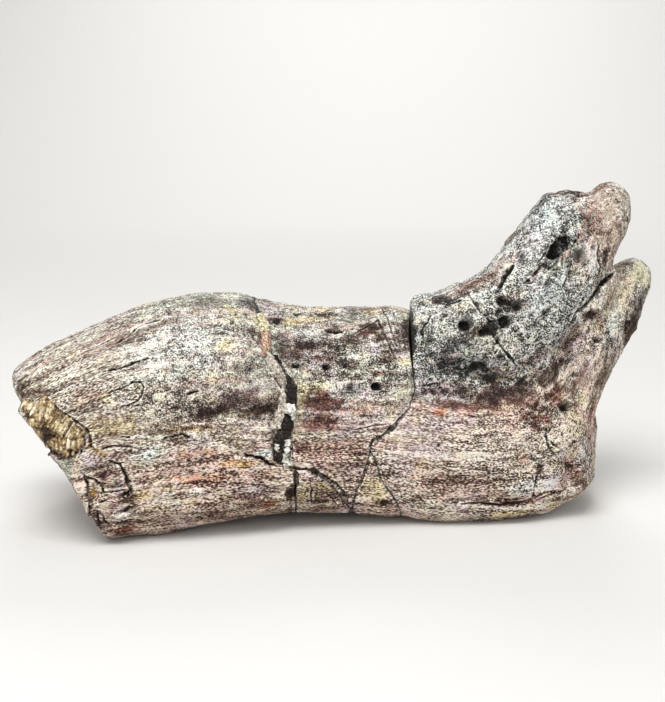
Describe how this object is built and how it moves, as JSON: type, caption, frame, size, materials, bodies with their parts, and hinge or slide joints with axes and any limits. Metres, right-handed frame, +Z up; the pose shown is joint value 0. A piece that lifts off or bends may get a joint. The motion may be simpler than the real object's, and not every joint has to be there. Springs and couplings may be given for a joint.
{
  "type": "fossil skull section",
  "caption": "Weathered fossil skull section, broken and glued back together, with a golden calcite hollow in its broken end and prongs that rise from the other.",
  "frame": {"origin": "under the middle of the section, on the surface it lies on", "axes": "+X along the section from the broken end towards the prongs, +Z up, the side with the open cracks faces -Y"},
  "size_m": [0.2993, 0.0883, 0.147],
  "materials": {
    "streaked_bone": "weathered fossil bone, matt, streaked cream, pink and mauve along the grain",
    "ochre_bone": "weathered fossil bone, matt, mottled ochre, brown and dull pink",
    "pitted_bone": "weathered fossil bone, matt, speckled grey-green above and cream and pink below, pitted",
    "calcite": "golden calcite crystals, satin"
  },
  "bodies": {
    "root": {"left_fragment": "streaked_bone", "middle_fragment": "ochre_bone", "right_fragment": "pitted_bone", "left_wedge": "ochre_bone", "right_wedge": "ochre_bone", "golden_calcite": "calcite"}
  },
  "joints": []
}
